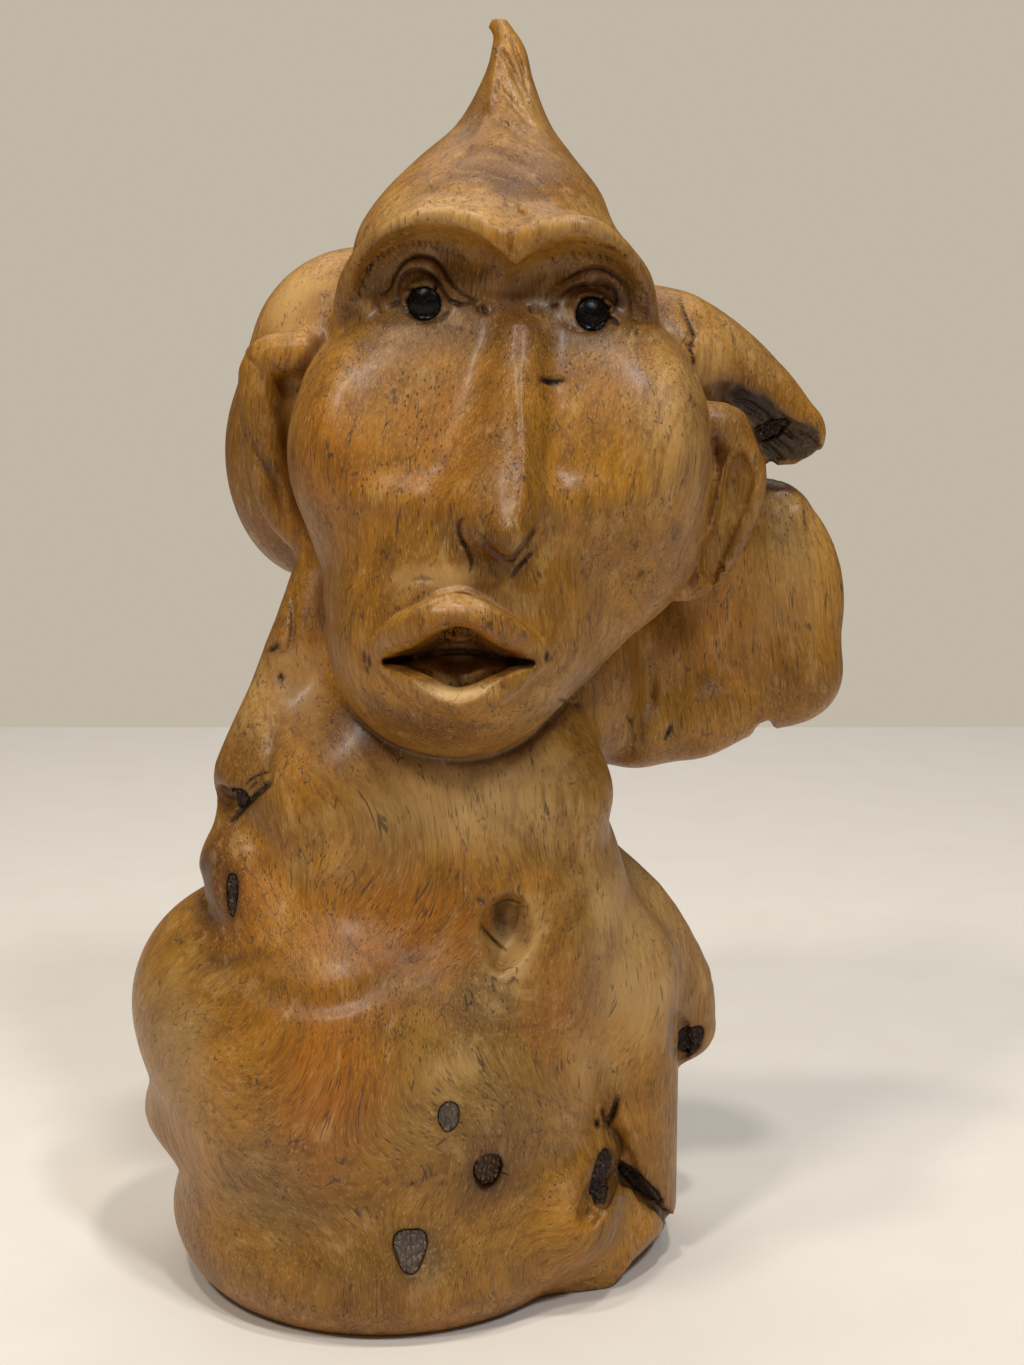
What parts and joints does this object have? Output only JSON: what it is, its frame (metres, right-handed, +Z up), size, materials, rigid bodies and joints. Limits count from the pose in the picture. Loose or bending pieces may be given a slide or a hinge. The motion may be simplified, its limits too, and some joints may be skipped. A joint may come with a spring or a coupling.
{
  "type": "root carving figure",
  "caption": "Free-standing root-wood figure: a long carved face under a hooked spike on a swollen root foot, with inlaid pupils, knots and bark.",
  "frame": {"origin": "centre of the sawn foot, in the plane that the figure stands on", "axes": "+Z up the figure to the tip of the spike, -Y the way the face looks, +X to the side of the long flap behind the carved ear"},
  "size_m": [0.1788, 0.1124, 0.2981],
  "materials": {
    "root_wood": "satin varnish over carved root wood",
    "pupil": "ebonised, glossy",
    "dead_knot": "dead knot under varnish",
    "grey_knot": "grey weathered knot and bark under varnish",
    "bark": "dark pocket bark, matt"
  },
  "bodies": {
    "root": {"carved_root": "root_wood", "left_pupil": "pupil", "right_pupil": "pupil", "belly_knot": "dead_knot", "pin_knot": "grey_knot", "low_bark": "grey_knot", "foot_bark": "bark", "crack_bark": "bark", "stub_bark": "bark", "lobe_bark": "bark", "hip_bark": "bark", "arm_bark": "bark"}
  },
  "joints": []
}
